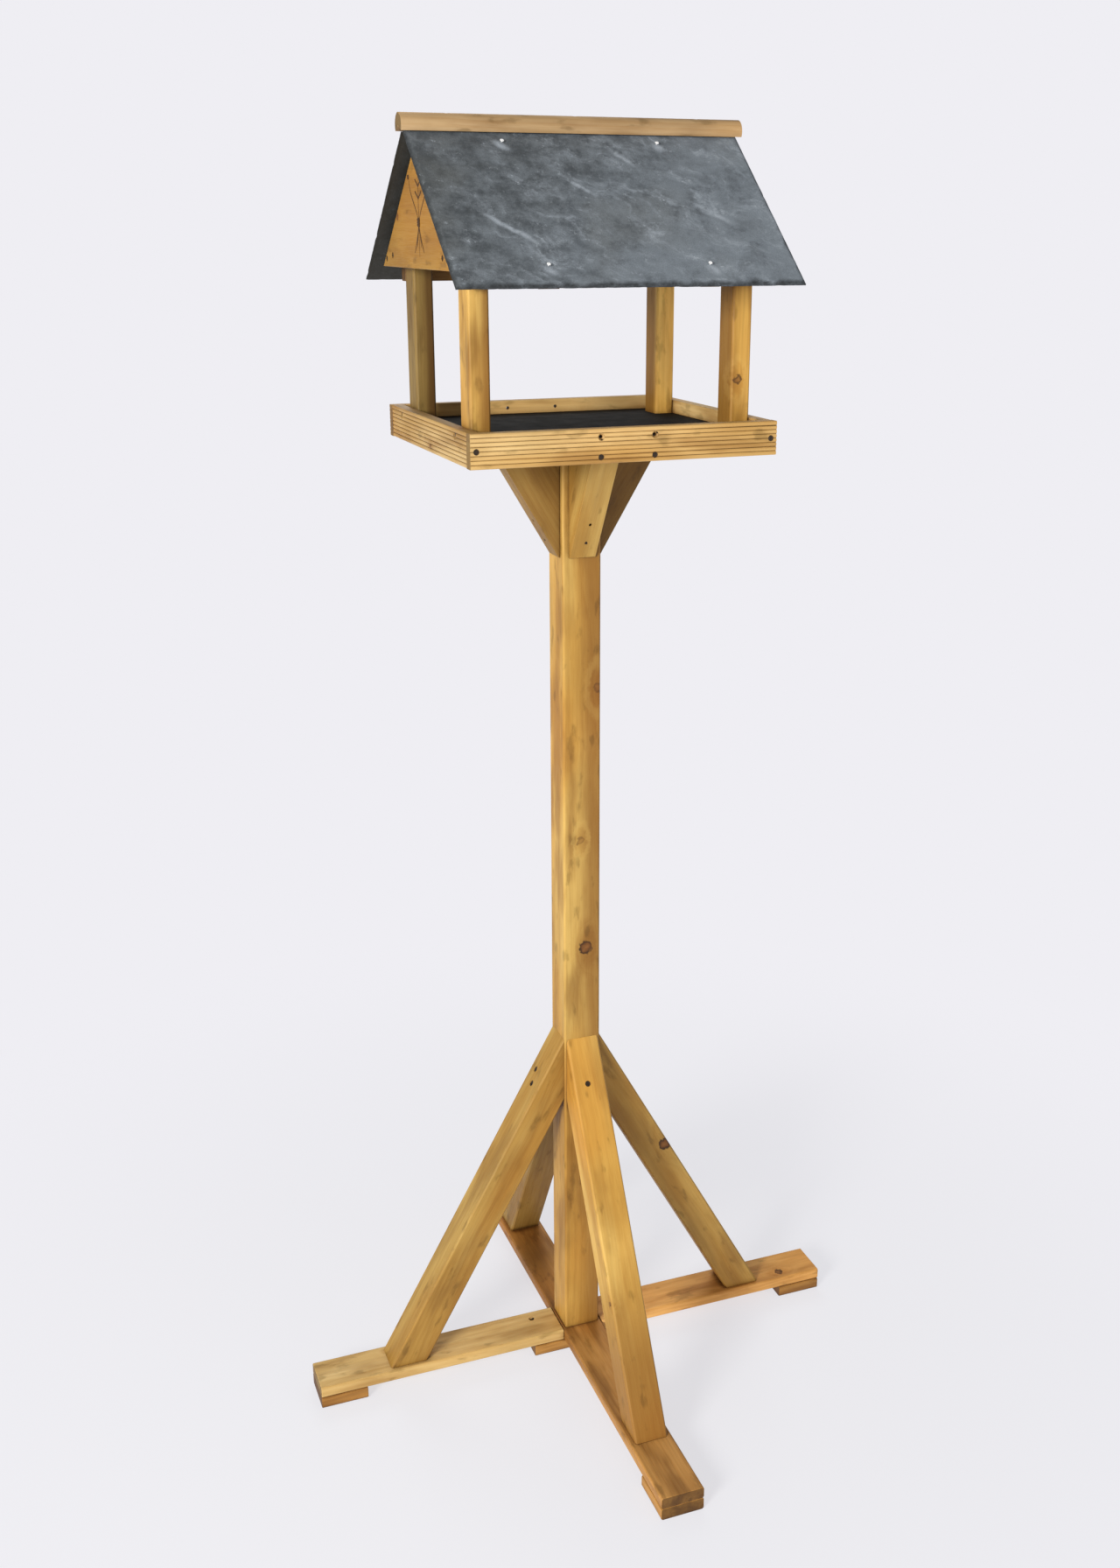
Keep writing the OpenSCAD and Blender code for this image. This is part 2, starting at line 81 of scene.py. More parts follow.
class Shader:
    """Short calls that build one material. An input that is a socket is linked, any other is set."""

    def __init__(self, name, kind="ShaderNodeBsdfPrincipled"):
        self.material = bpy.data.materials.new(name)
        self.material.use_nodes = True
        self.tree = self.material.node_tree
        self.tree.nodes.clear()
        self.surface = self.node(kind)
        output = self.node("ShaderNodeOutputMaterial")
        self.tree.links.new(self.surface.outputs[0], output.inputs["Surface"])

    def feed(self, socket, value):
        if isinstance(value, bpy.types.NodeSocket):
            self.tree.links.new(value, socket)
        else:
            socket.default_value = value

    def node(self, kind, settings=None, inputs=None):
        made = self.tree.nodes.new(kind)
        for key, value in (settings or {}).items():
            setattr(made, key, value)
        for key, value in (inputs or {}).items():
            self.feed(made.inputs[key], value)
        return made

    def math(self, operation, *values):
        made = self.node("ShaderNodeMath", {"operation": operation})
        for socket, value in zip(made.inputs, values):
            self.feed(socket, value)
        return made.outputs[0]

    def vector(self, operation, *values):
        made = self.node("ShaderNodeVectorMath", {"operation": operation})
        for socket, value in zip(made.inputs, values):
            self.feed(socket, value)
        return made.outputs["Value" if operation in ("LENGTH", "DOT_PRODUCT") else "Vector"]

    def mapped(self, vector, location=(0, 0, 0), rotation=(0, 0, 0), scale=(1, 1, 1)):
        inputs = {"Vector": vector, "Location": location, "Rotation": rotation, "Scale": scale}
        return self.node("ShaderNodeMapping", None, inputs).outputs["Vector"]

    def noise(self, vector, scale=1.0, detail=2.0, roughness=0.5, output="Fac"):
        inputs = {"Vector": vector, "Scale": scale, "Detail": detail, "Roughness": roughness}
        return self.node("ShaderNodeTexNoise", None, inputs).outputs[output]

    def step(self, value, low, high, start=0.0, end=1.0):
        """A smooth step from start to end as value goes from low to high."""
        inputs = {"Value": value, "From Min": low, "From Max": high, "To Min": start, "To Max": end}
        settings = {"interpolation_type": "SMOOTHSTEP"}
        return self.node("ShaderNodeMapRange", settings, inputs).outputs["Result"]

    def blend(self, factor, a, b, mode="MIX"):
        made = self.node("ShaderNodeMix", {"data_type": "RGBA", "blend_type": mode})
        for index, value in ((0, factor), (6, a), (7, b)):
            self.feed(made.inputs[index], value)
        return made.outputs[2]

    def bump(self, height, distance, strength=1.0):
        inputs = {"Height": height, "Distance": distance, "Strength": strength}
        return self.node("ShaderNodeBump", None, inputs).outputs["Normal"]

    def times(self, a, b):
        return self.math("MULTIPLY", a, b)

    def plus(self, a, b):
        return self.math("ADD", a, b)

    def larger(self, a, b):
        return self.math("MAXIMUM", a, b)

    def stain(self, colour, factor, tint):
        """A colour multiplied by a tint as far as factor says."""
        return self.blend(factor, colour, self.blend(1.0, colour, tint, "MULTIPLY"))

    def spread(self, colour, reach):
        """A noise's colour as an offset of up to half of reach each way."""
        return self.vector("MULTIPLY", self.vector("SUBTRACT", colour, (0.5, 0.5, 0.5)), reach)

    def coordinate(self, output="Object"):
        return self.node("ShaderNodeTexCoord").outputs[output]

    def facing(self):
        """The Z part of the local surface normal."""
        return self.node("ShaderNodeSeparateXYZ", None, {"Vector": self.coordinate("Normal")}).outputs["Z"]

    def finish(self, **inputs):
        for key, value in inputs.items():
            self.feed(self.surface.inputs[key.replace("_", " ")], value)
        return self.material


# ---- Timber ----

KNOT_BARK = srgb(60, 36, 14)
KNOT_HEART = srgb(130, 84, 38)
KNOT_WOOD = srgb(108, 66, 26)

# Tints that a timber's colour is multiplied by
LATE_WOOD = (0.80, 0.68, 0.50, 1)
# The end grain's own darker tint, deepened further as painted shade on end faces; the grime takes it too
END_GRAIN_AND_SHADE = (0.34, 0.31, 0.19, 1)
SMOKE = (0.74, 0.70, 0.62, 1)
WARM = (1.0, 0.84, 0.6, 1)
# Painted shade in the crevices where timbers meet
CREVICE_SHADE = (0.22, 0.14, 0.07, 1)

RING = 6.5 * MM
CREVICE_SHADE_REACH = 9 * MM
SHORTEST_ARRIS = 2.2 * MM


def wavy(s, local, rng):
    """Local coordinates in which the grain wanders a little across its length."""
    shift = [rng.uniform(0, 40) for _ in "xyz"]
    wobble = s.noise(s.mapped(local, location=shift, scale=(9, 9, 2.0)), detail=3.0, output="Color")
    return s.vector("ADD", local, s.spread(wobble, (0.03, 0.03, 0.0)))


def knot_fields(s, local, knots):
    """The knots' core, dark rim, halo of bent grain, pale curl round that and heart, each from 0 to 1.
    A knot is (local point, weights of the local axes, radius, strength)."""
    ragged = s.noise(local, scale=170.0, detail=2.0, output="Color")
    place = s.vector("ADD", local, s.spread(ragged, [9 * MM] * 3))
    fields = dict.fromkeys(("core", "rim", "halo", "curl", "heart"), 0.0)
    for point, weights, radius, strength in knots:
        offset = s.vector("MULTIPLY", s.vector("SUBTRACT", place, point), weights)
        distance = s.math("DIVIDE", s.vector("LENGTH", offset), radius)
        along_grain = s.vector("MULTIPLY", offset, (1, 1, 0.45))
        flow = s.math("DIVIDE", s.vector("LENGTH", along_grain), radius)
        knot = {"core": s.step(distance, 1.15, 0.85, 0.0, strength),
                "rim": s.times(s.step(distance, 0.6, 1.0), s.step(distance, 1.3, 1.02, 0.0, strength)),
                "halo": s.step(flow, 3.2, 0.5),
                "curl": s.times(s.step(flow, 3.2, 2.4), s.step(flow, 1.5, 2.1, 0.0, 0.9 - 0.8 * strength)),
                "heart": s.step(distance, 0.75, 0.1)}
        for name, field in knot.items():
            fields[name] = s.larger(fields[name], field)
    return fields


def growth_rings(s, place, halo, rng):
    """Late wood, from 0 to 1, in rings round a tilted pith beside the piece that bend round knots."""
    pith = (rng.uniform(0.012, 0.05) * rng.choice((-1, 1)), rng.uniform(0.02, 0.07), 0)
    tilt = (rng.uniform(-0.04, 0.04), rng.uniform(-0.04, 0.04), 0)
    section = s.vector("MULTIPLY", s.mapped(place, location=pith, rotation=tilt), (1, 1, 0))
    radius = s.plus(s.vector("LENGTH", section), s.times(halo, 1.6 * RING))
    ring = s.math("FRACT", s.math("DIVIDE", radius, RING))
    return s.times(s.step(ring, 0.2, 0.84), s.step(ring, 1.0, 0.9))


def wood_fields(s, local, place, rng):
    """A timber's uneven fields: each with how often it changes across and along the grain, and detail."""
    fields = {}
    for name, source, across, along, detail in (
            ("broad", place, 15, 3.0, 2.0), ("patch", place, 40, 8.0, 3.0),
            ("streak", place, 170, 5.0, 3.0), ("smoke", local, 26, 11, 4.0),
            ("fibre", place, 1100, 26, 2.0), ("grime", local, 70, 26, 4.0),
            ("warm", local, 11, 3.5, 1.0)):
        shift = [rng.uniform(0, 90) for _ in "xyz"]
        stretched = s.mapped(source, location=shift, scale=(across, across, along))
        fields[name] = s.noise(stretched, detail=detail)
    return fields


def wood_tones(s, field, tones, patches):
    """The light tone drifting into the middle one, with patches and streaks of the dark one."""
    light, middle, dark = tones
    colour = s.blend(s.step(field["broad"], 0.4, 0.6), light, middle)
    colour = s.blend(s.step(field["patch"], 0.44, 0.68, 0.0, patches), colour, dark)
    colour = s.blend(s.step(field["streak"], 0.44, 0.72, 0.0, 0.45 * patches), colour, dark)
    return s.stain(colour, s.step(field["smoke"], 0.42, 0.68, 0.0, 0.55), SMOKE)


def darker_parts(s, colour, place, dark, sap_and_lit_side, foot):
    """The dark tone towards the lower end, and over the side away from the sapwood: partly heartwood,
    partly painted shade on the side away from the lamps.
    """
    if foot:
        rise = s.vector("DOT_PRODUCT", place, (0, 0, 1))
        colour = s.blend(s.step(rise, foot + 0.26, foot + 0.08, 0.0, 0.9), colour, dark)
    # The side away from the paler side is darker: partly heartwood, partly painted shade away from the
    # lamps
    if sap_and_lit_side:
        side = s.vector("DOT_PRODUCT", place, sap_and_lit_side)
        colour = s.blend(s.step(side, 5 * MM, -4 * MM, 0.0, 0.8), colour, dark)
    return colour


def grain_stains(s, colour, field, late):
    """Late wood, warm stretches, fibres and grime."""
    colour = s.stain(colour, late, LATE_WOOD)
    colour = s.stain(colour, s.step(field["warm"], 0.46, 0.64, 0.0, 0.45), WARM)
    colour = s.stain(colour, s.step(field["fibre"], 0.35, 0.75, 0.0, 0.3), LATE_WOOD)
    return s.stain(colour, s.step(field["grime"], 0.58, 0.7, 0.0, 0.45), END_GRAIN_AND_SHADE)


def knot_colours(s, colour, field, knot, light):
    """Each knot's pale curl and halo, then the knot itself with its bark."""
    colour = s.blend(s.times(knot["curl"], 0.4), colour, light)
    colour = s.stain(colour, s.times(knot["halo"], 0.6), LATE_WOOD)
    colour = s.blend(knot["core"], colour, s.blend(knot["heart"], KNOT_WOOD, KNOT_HEART))
    return s.blend(s.times(knot["rim"], s.step(field["grime"], 0.3, 0.5, 0.4, 0.95)), colour, KNOT_BARK)


def end_grain_and_crevice_shade(s, colour):
    """Darker end grain, its tint deepened as painted shade on end faces, and painted shade in the crevices
    where timbers meet.
    """
    # End faces: darker end grain, deepened as painted shade
    colour = s.stain(colour, s.step(s.math("ABSOLUTE", s.facing()), 0.8, 0.97, 0.0, 0.95), END_GRAIN_AND_SHADE)
    # Painted shade: ambient occlusion darkens the crevices where timbers meet
    reach = {"Distance": CREVICE_SHADE_REACH}
    open_air = s.node("ShaderNodeAmbientOcclusion", {"samples": 4}, reach).outputs["AO"]
    return s.stain(colour, s.step(open_air, 0.9, 0.35, 0.0, 0.8), CREVICE_SHADE)


def timber(name, tones, rng, knots=(), sap_and_lit_side=None, foot=0.0, patches=0.6, ring_depth=0.3):
    """Softwood as a solid, with its grain along local Z. tones are its light, middle and dark colours,
    its paler side is given as a local direction and is partly sapwood, partly painted light on the side
    facing the lamps with painted shade on the side away from them, foot is the local height of the lower
    end that it is darker towards, and patches and ring_depth say how strongly its patches and growth rings
    show."""
    s = Shader(name)
    local = s.coordinate()
    place = wavy(s, local, rng)
    knot = knot_fields(s, local, knots)
    rings = growth_rings(s, place, knot["halo"], rng)
    field = wood_fields(s, local, place, rng)
    late = s.times(rings, s.step(field["patch"], 0.3, 0.6, 0.35 * ring_depth, ring_depth))

    light, _, dark = tones
    colour = wood_tones(s, field, tones, patches)
    colour = darker_parts(s, colour, place, dark, sap_and_lit_side, foot)
    colour = grain_stains(s, colour, field, late)
    if knots:
        colour = knot_colours(s, colour, field, knot, light)
    colour = end_grain_and_crevice_shade(s, colour)

    height = s.plus(s.times(field["fibre"], 0.6), s.times(late, 0.4))
    return s.finish(Base_Color=colour, Roughness=s.step(field["fibre"], 0.3, 0.8, 0.5, 0.68),
                    Specular_IOR_Level=0.3, Normal=s.bump(height, 0.25 * MM, 0.5))


# ---- Making a piece ----

def grain_frame(node, grain):
    """A frame at the middle of a node's box with its Z axis along the grain."""
    low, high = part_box(node)
    return Matrix.Translation((low + high) / 2) @ grain.to_track_quat("Z", "Y").to_matrix().to_4x4()


def longest_edge(node):
    """The direction of a node's longest edge, pointing up."""
    mesh = frame["nodes"][node].data
    ends = [[mesh.vertices[i].co for i in edge.vertices] for edge in mesh.edges]
    first, last = max(ends, key=lambda pair: (pair[1] - pair[0]).length)
    direction = (last - first).normalized()
    return direction if direction.z > 0 else -direction


def welded(node):
    """A node's mesh as a bmesh, its flat faces joined again."""
    bm = bmesh.new()
    bm.from_mesh(frame["nodes"][node].data)
    bmesh.ops.remove_doubles(bm, verts=bm.verts, dist=0.002 * MM)
    bmesh.ops.dissolve_limit(bm, angle_limit=math.radians(0.4), verts=bm.verts, edges=bm.edges)
    return bm


def shade(piece, sharp=40):
    """Smooth faces that stay crisp at edges over so many degrees."""
    mesh = piece.data
    mesh.shade_smooth()
    mesh.set_sharp_from_angle(angle=math.radians(sharp))
    weighted = piece.modifiers.new("even_shading", "WEIGHTED_NORMAL")
    weighted.keep_sharp = True
    weighted.weight = 90


def add_piece(name, bm, place, material, *nodes, sharp=40):
    """A new piece from a bmesh in its local frame, in place of CAD nodes."""
    mesh = bpy.data.meshes.new(name)
    bm.to_mesh(mesh)
    bm.free()
    mesh.materials.append(material)
    piece = bpy.data.objects.new(name, mesh)
    piece.matrix_world = place
    bpy.context.scene.collection.objects.link(piece)
    shade(piece, sharp)
    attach(piece, "root")
    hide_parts(*nodes)


def round_arrises(bm, shortest, radius):
    """Rounds the sharp edges that are too long to be part of a screw hole's rim."""
    sharp = [edge for edge in bm.edges if edge.is_manifold and edge.calc_length() > shortest
             and edge.calc_face_angle() > math.radians(25)]
    bmesh.ops.bevel(bm, geom=sharp, offset=radius, segments=2, profile=0.5, affect="EDGES",
                    clamp_overlap=True)


def bridge(bm, low, high):
    """Faces between two closed rings of vertices."""
    for index in range(len(low)):
        following = (index + 1) % len(low)
        bm.faces.new((low[index], low[following], high[following], high[index]))


# ---- The timbers ----

# Light, middle and dark tones of each kind of timber
HONEY = srgb(212, 175, 96), srgb(196, 151, 70), srgb(144, 101, 40)
POST = srgb(214, 178, 100), srgb(196, 152, 72), srgb(124, 84, 26)
STRAW = srgb(238, 208, 146), srgb(224, 188, 120), srgb(176, 134, 72)
AMBER = srgb(240, 188, 114), srgb(226, 168, 92), srgb(176, 118, 54)
# BASE: the long base board's own stained tone, deepened in part as painted shade under the tray
BASE = srgb(202, 150, 82), srgb(182, 126, 58), srgb(120, 78, 30)
BLOCK = srgb(196, 144, 72), srgb(172, 120, 54), srgb(118, 78, 30)
# INNER: the pieces inside the house and under the roof and tray, their tone deepened as painted shade
INNER = srgb(160, 120, 62), srgb(140, 100, 48), srgb(100, 68, 30)
REEDED = srgb(228, 195, 134), srgb(212, 172, 104), srgb(164, 120, 60)
# GABLE: the gables' own tone, deepened as painted shade under the roof's overhang
GABLE = srgb(176, 138, 62), srgb(164, 122, 48), srgb(134, 92, 34)
ROLL = srgb(192, 162, 120), srgb(178, 142, 96), srgb(140, 106, 66)

# What some pieces' tones are multiplied by: under 1 is deeper, over 1 paler. Partly each piece's own tone,
# partly painted shade on pieces that lie in shadow, such as the brackets, the back strut and the back left
# post, and painted light on lit ones, such as the back right post
TONE_AND_SHADE_FACTORS = {"bracket_right": 0.4, "bracket_left": 0.54, "bracket_front": 0.82, "strut_back": 0.58,
          "strut_right": 0.86, "strut_left": 0.76, "strut_front": 1.2, "post_back_left": 0.42,
          "post_front_left": 1.1, "tray_board_left": 0.82, "post_back_right": 1.5,
          "post_front_right": 1.2}

# Pieces that are darker towards their lower end
DARK_FEET = {"strut_front"}

# The post with few dark patches
CLEAN_POST = "post_back_right"

# The side that a piece shows paler: partly its sapwood, partly painted light on the side that faces the
# lamps, with painted shade on the far side
PALE_SAP_AND_LIT_SIDE = {"pole": (-0.3, 0, 0), "post_front_left": (-0.8, 0, 0), "post_back_left": (-1, 0, 0),
       "post_front_right": (0.8, -0.6, 0), "post_back_right": (0.8, -0.6, 0)}

# Knots on the faces of pieces: the index of the axis that the face looks along, its side, two places from
# 0 to 1 along the other axes, radius in millimetres and strength
KNOTS = {
    "pole": [(1, -1, 0.60, 0.470, 8.0, 1.0), (1, -1, 0.47, 0.590, 4.5, 0.35),
             (1, -1, 0.93, 0.751, 6.5, 0.6), (0, -1, 0.75, 0.330, 5.0, 0.5)],
    "strut_right": [(1, -1, 0.39, 0.58, 8.0, 1.0)],
    "strut_front": [(0, -1, 0.36, 0.33, 3.0, 0.8)],
    "strut_back": [(0, 1, 0.6, 0.55, 7.5, 0.9)],
    "base_board_right": [(2, 1, 0.83, 0.25, 5.0, 0.9)],
    "base_board_left": [(2, 1, 0.3, 0.8, 3.0, 0.5)],
    "base_board_long": [(2, 1, 0.35, 0.83, 7.0, 0.9)],
    "gable_left": [(0, -1, 0.76, 0.45, 4.0, 0.8)],
    "gable_right": [(0, 1, 0.3, 0.3, 6.0, 0.7)],
    "post_front_right": [(1, -1, 0.32, 0.3, 4.5, 0.7)],
    "tray_board_left": [(0, -1, 0.46, 0.2, 3.0, 0.8)],
    "tray_board_back": [(1, 1, 0.7, 0.6, 4.0, 0.8)],
}


def on_face(node, axis, side, u, v):
    """A point on one face of a node's box: u and v go from 0 to 1 along the other two axes."""
    shares = [u, v]
    shares.insert(axis, 0 if side < 0 else 1)
    return Vector([low * (1 - share) + high * share for low, high, share in zip(*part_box(node), shares)])


def local_knots(node, inverse):
    """A node's knots in its local frame, each reaching twice its radius into the wood."""
    found = []
    for axis, side, u, v, radius, strength in KNOTS.get(node, ()):
        point = inverse @ on_face(node, axis, side, u, v)
        direction = inverse.to_3x3() @ AXES[axis]
        weights = [0.5 if abs(value) > 0.7 else 1 for value in direction]
        found.append((point, weights, radius * MM, strength))
    return found


def add_timber(node, grain, tones, round_off=0.9, **finish):
    """A timber's CAD shape with its arrises rounded by so many millimetres, in its own wood."""
    rng = random.Random(node)
    bm = welded(node)
    place = grain_frame(node, grain)
    inverse = place.inverted()
    bmesh.ops.transform(bm, matrix=inverse, verts=bm.verts)
    round_arrises(bm, SHORTEST_ARRIS, round_off * MM)
    # Random tone times the piece's factor: its own tone, painted shade below 1, painted light above 1
    tone_and_shade = rng.uniform(0.95, 1.03) * TONE_AND_SHADE_FACTORS.get(node, 1.0)
    tones = [[min(1, value * tone_and_shade) for value in tone[:3]] + [1] for tone in tones]
    # The paler side: partly sapwood, partly painted light on the side facing the lamps
    sap_and_lit_side = inverse.to_3x3() @ Vector(PALE_SAP_AND_LIT_SIDE[node]) if node in PALE_SAP_AND_LIT_SIDE else None
    foot = min(vertex.co.z for vertex in bm.verts) if node in DARK_FEET else 0.0
    material = timber(node + "_wood", tones, rng, local_knots(node, inverse), sap_and_lit_side, foot, **finish)
    add_piece(node + "_timber", bm, place, material, node)


def add_middle_timbers():
    """The pole and what surrounds it on four sides, then the long base board and its block."""
    add_timber("pole", Z, HONEY)
    for side, along, across in (("front", X, Y), ("back", X, Y), ("left", Y, X), ("right", Y, X)):
        strut, bracket = "strut_" + side, "bracket_" + side
        add_timber(strut, longest_edge(strut), HONEY, patches=0.4)
        add_timber(bracket, longest_edge(bracket), HONEY, patches=0.3)
        add_timber("foot_block_" + side, across, BLOCK)
        add_timber("tray_board_" + side, along, REEDED, round_off=0.3, ring_depth=0.25)
    add_timber("base_board_long", Y, BASE)
    add_timber("centre_block", X, BLOCK)


def add_end_timbers():
    """The timbers on the left and on the right, then those that run from end to end of the house."""
    for side, board_tones in (("left", STRAW), ("right", AMBER)):
        add_timber("base_board_" + side, X, board_tones)
        add_timber("gable_" + side, Y, GABLE, patches=0.3, ring_depth=0.2)
        add_timber("bearer_" + side, Y, INNER)
        add_timber("noggin_" + side, X, INNER)
        for end in ("front", "back"):
            post, batten = f"post_{end}_{side}", f"batten_{end}_{side}"
            add_timber(post, Z, POST, patches=0.3 if post == CLEAN_POST else 0.7)
            add_timber(batten, longest_edge(batten), INNER)
    for board in ("roof_rail_front", "roof_rail_back", "ridge_board", "tray_floor"):
        add_timber(board, X, INNER)
    add_timber("ridge_roll", X, ROLL, patches=0.45, round_off=1.2)


# ---- Burnt sprig on the gables ----

SPRIG_RADIUS = 1.7 * MM
SPRIG_SUNK = 0.8 * MM


def sprig_half(side, base, tie, top, reach):
    """One side of the sprig: a curved shoot with a bud and two leaves, and two stems below the tie."""
    height, above, below = top - base, top - tie, tie - base
    reach *= side
    shoot = [(reach * math.sin(0.5 * math.pi * t) ** 1.5, tie + above * 0.84 * t)
             for t in (0.0, 0.2, 0.4, 0.6, 0.8, 1.0)]
    foot = [(reach * 0.5 * t ** 1.6, tie - below * 0.88 * t) for t in (0.0, 0.25, 0.5, 0.75, 1.0)]
    inner = [(reach * 0.2 * t, tie - below * 0.72 * t) for t in (0.0, 0.5, 1.0)]
    (x0, y0), (x1, y1) = shoot[-2:]
    bud = [(x1, y1), (x1 + 0.4 * (x1 - x0), y1 + 0.4 * (y1 - y0))]
    leaves = [[(0, tie + above * share), (reach * out, tie + above * share + 0.08 * height)]
              for share, out in ((0.45, 0.32), (0.68, 0.3))]
    return [(shoot, 0.8), (foot, 0.9), (inner, 0.8), (bud, 2.0)] + [(leaf, 1.2) for leaf in leaves]


def sprig_lines(base, height, reach):
    """A plain sprig as (points, width) lines of (across, up) points: tied stems that spread at the foot,
    curved shoots with buds, and a straight middle stem."""
    tie, top = base + 0.4 * height, base + height
    lines = [([(0, base), (0, tie), (0, top)], 0.8), ([(0, top - 0.05 * height), (0, top)], 1.9)]
    for side in (-1, 1):
        lines += sprig_half(side, base, tie, top, reach)
    for rise in (-0.03, 0.0, 0.03):
        level = tie + rise * height
        lines.append(([(-0.1 * reach, level), (0.1 * reach, level)], 1.8))
    return lines


def burnt_material():
    """Charred wood, brown to nearly black."""
    s = Shader("burnt_line")
    char = s.noise(s.coordinate(), scale=900.0, detail=2.0)
    colour = s.blend(char, srgb(84, 54, 22), srgb(48, 30, 12))
    return s.finish(Base_Color=colour, Roughness=0.9, Normal=s.bump(char, 0.1 * MM))


def add_spline(curve, points, width):
    """A smooth line that thins towards both its ends."""
    spline = curve.splines.new("NURBS")
    spline.points.add(len(points) - 1)
    spline.use_endpoint_u = True
    spline.order_u = min(3, len(points))
    for index, (control, point) in enumerate(zip(spline.points, points)):
        share = index / (len(points) - 1)
        control.co = (*point, 1)
        control.radius = width * (0.5 + 0.5 * math.sin(math.pi * (0.15 + 0.7 * share)))


def add_sprig(gable, side, material):
    """The sprig's lines as thin ribs of char, sunk into a gable's outer face."""
    low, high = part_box(gable)
    height = high.z - low.z
    face = (low.x if side < 0 else high.x) - side * SPRIG_SUNK
    curve = bpy.data.curves.new(gable + "_sprig", "CURVE")
    curve.dimensions = "3D"
    curve.bevel_depth = SPRIG_RADIUS
    curve.bevel_resolution = 1
    curve.use_fill_caps = True
    for line, width in sprig_lines(low.z + 0.1 * height, 0.72 * height, 0.3 * height):
        add_spline(curve, [(face, across - 0.12 * height, up) for across, up in line], width)
    curve.materials.append(material)
    sprig = bpy.data.objects.new(gable + "_sprig", curve)
    bpy.context.scene.collection.objects.link(sprig)
    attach(sprig, "root")


# ---- Slates ----

SLATE_DARK, SLATE_PALE = srgb(62, 67, 71), srgb(122, 130, 137)
SLATE_RUST = srgb(100, 98, 86)
# A painted sheen to the right and below, and painted shade on the left
SLATE_PAINTED_SHEEN, SLATE_PAINTED_SHADE = srgb(140, 150, 160), srgb(72, 76, 79)
SLATE_CLOUD = srgb(62, 66, 70)
SLATE_SMEAR, SLATE_FLECK = srgb(168, 177, 187), srgb(196, 205, 214)
SLATE_HOLLOW, SLATE_PIT = srgb(74, 80, 86), srgb(46, 50, 53)
# The underside's colour is painted shade
SLATE_EDGE, SLATE_UNDERSIDE_SHADE = srgb(36, 39, 41), srgb(34, 30, 16)

# Pale scuffs on a slate and stains round its screws: middle, turn in degrees, half length and half width
SCUFFS = [((-0.118, -0.035), 46, 0.06, 0.006), ((0.045, 0.078), 50, 0.03, 0.006),
          ((0.125, -0.01), 35, 0.04, 0.008), ((-0.02, 0.03), 42, 0.03, 0.005)]
SCUFFS += [((x, y), 46, 0.016, 0.009) for x in (-0.093, 0.093) for y in (-0.097, 0.101)]

SLATE_COLUMNS, SLATE_ROWS = 180, 110
HEAD_CHIPS, FOOT_CHIPS, SIDE_CHIPS = 1.5 * MM, 5.0 * MM, 2.2 * MM
DRESSED_WIDTH = 6.0 * MM
TOP_DROP, UNDER_DROP = 2.6 * MM, 0.4 * MM
RIVEN_DEPTH = 0.5 * MM


def scuff(s, place, centre, turn, length, width):
    """A soft pale smear on a slate's face: 1 along its middle line, 0 outside it."""
    turned = s.mapped(s.vector("SUBTRACT", place, (*centre, 0)), rotation=(0, 0, math.radians(turn)))
    line = s.vector("MULTIPLY", turned, (1 / length, 1 / width, 0))
    return s.step(s.vector("LENGTH", line), 1.0, 0.1)


def slate_fields(s, face, seed):
    """A slate's uneven fields. slope grows to the right and downwards and places the painted sheen and
    shade, and wisp runs down to the right.
    """
    local = s.mapped(face, location=(seed, 0.37 * seed, 0))
    drift = s.spread(s.noise(local, scale=16.0, detail=4.0, output="Color"), (0.09, 0.09, 0.0))
    drifted = s.vector("ADD", local, drift)
    turned = s.mapped(drifted, rotation=(0, 0, math.radians(38)))
    cloud = s.noise(drifted, scale=12.0, detail=5.0, roughness=0.6)
    return {"drift": drift, "cloud": cloud,
            "mottle": s.noise(local, scale=34.0, detail=9.0, roughness=0.78),
            "wisp": s.noise(s.mapped(turned, scale=(16, 40, 16)), detail=8.0, roughness=0.72),
            "fleck": s.noise(local, scale=120.0, detail=6.0, roughness=0.8),
            "grain": s.noise(local, scale=900.0, detail=2.0),
            "rust": s.noise(local, scale=7.0, detail=3.0),
            "slope": s.plus(s.vector("DOT_PRODUCT", face, (1.0, -0.7, 0.0)), s.times(cloud, 0.3))}


def slate_ground(s, field):
    """Mottled blue-grey with rusty and clouded parts, paler to the right and below from a painted sheen,
    and darker on the left from painted shade.
    """
    slope = field["slope"]
    colour = s.blend(s.step(field["mottle"], 0.3, 0.7), SLATE_DARK, SLATE_PALE)
    colour = s.blend(s.step(field["rust"], 0.5, 0.68, 0.0, 0.3), colour, SLATE_RUST)
    # Painted highlight: a sheen to the right and below
    colour = s.blend(s.step(slope, 0.0, 0.34, 0.0, 0.6), colour, SLATE_PAINTED_SHEEN)
    colour = s.blend(s.step(field["cloud"], 0.46, 0.3, 0.0, 0.4), colour, SLATE_CLOUD)
    # Painted shade on the left side
    return s.blend(s.step(slope, 0.14, -0.16, 0.0, 0.45), colour, SLATE_PAINTED_SHADE)


def slate_smears(s, face, field):
    """Where the pale wisps and scuffs lie, from 0 to 1."""
    mottle = field["mottle"]
    smear = s.times(s.step(field["wisp"], 0.48, 0.7), s.step(mottle, 0.35, 0.62, 0.1, 0.85))
    smear = s.times(smear, s.step(field["slope"], -0.1, 0.2, 0.25, 1.0))
    place = s.vector("ADD", face, s.vector("MULTIPLY", field["drift"], (0.2, 0.2, 0)))
    broken = s.step(mottle, 0.3, 0.6, 0.2, 0.95)
    for centre, turn, length, width in SCUFFS:
        line = scuff(s, place, centre, turn, length, width)
        smear = s.larger(smear, s.times(line, broken))
    return smear


